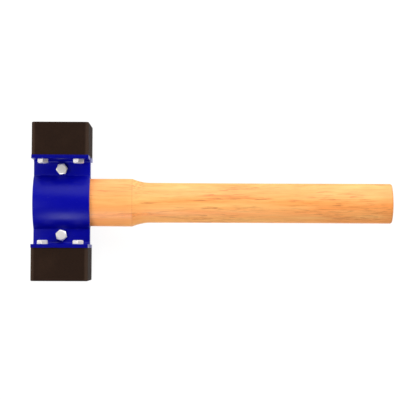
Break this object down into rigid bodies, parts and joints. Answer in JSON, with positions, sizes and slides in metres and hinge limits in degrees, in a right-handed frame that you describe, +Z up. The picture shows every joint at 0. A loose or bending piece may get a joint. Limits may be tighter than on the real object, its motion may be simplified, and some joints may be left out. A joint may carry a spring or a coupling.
{
  "type": "rubber mallet",
  "caption": "Two-faced rubber mallet: square rubber faces bolted to a bent steel strip clamp on an oval wooden handle.",
  "frame": {"origin": "on the surface the mallet lies on, below the middle of its bounding box", "axes": "+X along the handle away from the head, +Y along the head from the left to the right rubber face, +Z up on the side of the clamp bolts' heads"},
  "size_m": [0.3538, 0.1538, 0.057],
  "materials": {
    "black_rubber": "matt moulded, very dark brown",
    "ash_handle": "sanded and thinly varnished",
    "blue_paint": "gloss enamel",
    "zinc_plate": "pale zinc plate",
    "plain_steel": "plain turned steel"
  },
  "bodies": {
    "head_frame": {"handle": "ash_handle", "top_clamp_half": "blue_paint", "bottom_clamp_half": "blue_paint", "left_clamp_bolt": "zinc_plate", "right_clamp_bolt": "zinc_plate"},
    "left_face": {"left_rubber_face": "black_rubber", "left_anchor_plate": "plain_steel", "left_insert_1": "plain_steel", "left_insert_2": "plain_steel", "left_insert_3": "plain_steel", "left_insert_4": "plain_steel"},
    "left_face_bolt_1": {"left_face_bolt_1": "zinc_plate"},
    "left_face_bolt_2": {"left_face_bolt_2": "zinc_plate"},
    "left_face_bolt_3": {"left_face_bolt_3": "zinc_plate"},
    "left_face_bolt_4": {"left_face_bolt_4": "zinc_plate"},
    "left_clamp_washer": {"left_clamp_washer": "zinc_plate"},
    "left_clamp_nut": {"left_clamp_nut": "zinc_plate"},
    "right_face": {"right_rubber_face": "black_rubber", "right_anchor_plate": "plain_steel", "right_insert_1": "plain_steel", "right_insert_2": "plain_steel", "right_insert_3": "plain_steel", "right_insert_4": "plain_steel"},
    "right_face_bolt_1": {"right_face_bolt_1": "zinc_plate"},
    "right_face_bolt_2": {"right_face_bolt_2": "zinc_plate"},
    "right_face_bolt_3": {"right_face_bolt_3": "zinc_plate"},
    "right_face_bolt_4": {"right_face_bolt_4": "zinc_plate"},
    "right_clamp_washer": {"right_clamp_washer": "zinc_plate"},
    "right_clamp_nut": {"right_clamp_nut": "zinc_plate"}
  },
  "joints": [
    {"name": "left_face_bolt_1_turn", "type": "hinge", "parent": "head_frame", "child": "left_face_bolt_1", "pos_m": [-0.16645, -0.0425, 0.04575], "axis": [0, 1, 0], "range_deg": [0, 3600]},
    {"name": "left_face_bolt_2_turn", "type": "hinge", "parent": "head_frame", "child": "left_face_bolt_2", "pos_m": [-0.16645, -0.0425, 0.01125], "axis": [0, 1, 0], "range_deg": [0, 3600]},
    {"name": "left_face_bolt_3_turn", "type": "hinge", "parent": "head_frame", "child": "left_face_bolt_3", "pos_m": [-0.13195, -0.0425, 0.04575], "axis": [0, 1, 0], "range_deg": [0, 3600]},
    {"name": "left_face_bolt_4_turn", "type": "hinge", "parent": "head_frame", "child": "left_face_bolt_4", "pos_m": [-0.13195, -0.0425, 0.01125], "axis": [0, 1, 0], "range_deg": [0, 3600]},
    {"name": "left_face_slide", "type": "slide", "parent": "head_frame", "child": "left_face", "axis": [0, -1, 0], "range_m": [0, 0.01]},
    {"name": "left_clamp_washer_slide", "type": "slide", "parent": "head_frame", "child": "left_clamp_washer", "axis": [0, 0, -1], "range_m": [0, 0.003]},
    {"name": "left_clamp_nut_turn", "type": "hinge", "parent": "left_clamp_washer", "child": "left_clamp_nut", "pos_m": [-0.1492, -0.0325, 0.0285], "axis": [0, 0, -1], "range_deg": [0, 1080]},
    {"name": "right_face_bolt_1_turn", "type": "hinge", "parent": "head_frame", "child": "right_face_bolt_1", "pos_m": [-0.16645, 0.0425, 0.01125], "axis": [0, -1, 0], "range_deg": [0, 3600]},
    {"name": "right_face_bolt_2_turn", "type": "hinge", "parent": "head_frame", "child": "right_face_bolt_2", "pos_m": [-0.16645, 0.0425, 0.04575], "axis": [0, -1, 0], "range_deg": [0, 3600]},
    {"name": "right_face_bolt_3_turn", "type": "hinge", "parent": "head_frame", "child": "right_face_bolt_3", "pos_m": [-0.13195, 0.0425, 0.01125], "axis": [0, -1, 0], "range_deg": [0, 3600]},
    {"name": "right_face_bolt_4_turn", "type": "hinge", "parent": "head_frame", "child": "right_face_bolt_4", "pos_m": [-0.13195, 0.0425, 0.04575], "axis": [0, -1, 0], "range_deg": [0, 3600]},
    {"name": "right_face_slide", "type": "slide", "parent": "head_frame", "child": "right_face", "axis": [0, 1, 0], "range_m": [0, 0.01]},
    {"name": "right_clamp_washer_slide", "type": "slide", "parent": "head_frame", "child": "right_clamp_washer", "axis": [0, 0, -1], "range_m": [0, 0.003]},
    {"name": "right_clamp_nut_turn", "type": "hinge", "parent": "right_clamp_washer", "child": "right_clamp_nut", "pos_m": [-0.1492, 0.0325, 0.0285], "axis": [0, 0, -1], "range_deg": [0, 1080]}
  ],
  "couplings": [
    {"joint": "left_face_bolt_1_turn", "follows": "left_face_slide", "rad_per_m": 6283.2},
    {"joint": "left_face_bolt_2_turn", "follows": "left_face_slide", "rad_per_m": 6283.2},
    {"joint": "left_face_bolt_3_turn", "follows": "left_face_slide", "rad_per_m": 6283.2},
    {"joint": "left_face_bolt_4_turn", "follows": "left_face_slide", "rad_per_m": 6283.2},
    {"joint": "left_clamp_nut_turn", "follows": "left_clamp_washer_slide", "rad_per_m": 6283.2},
    {"joint": "right_face_bolt_1_turn", "follows": "right_face_slide", "rad_per_m": 6283.2},
    {"joint": "right_face_bolt_2_turn", "follows": "right_face_slide", "rad_per_m": 6283.2},
    {"joint": "right_face_bolt_3_turn", "follows": "right_face_slide", "rad_per_m": 6283.2},
    {"joint": "right_face_bolt_4_turn", "follows": "right_face_slide", "rad_per_m": 6283.2},
    {"joint": "right_clamp_nut_turn", "follows": "right_clamp_washer_slide", "rad_per_m": 6283.2}
  ]
}
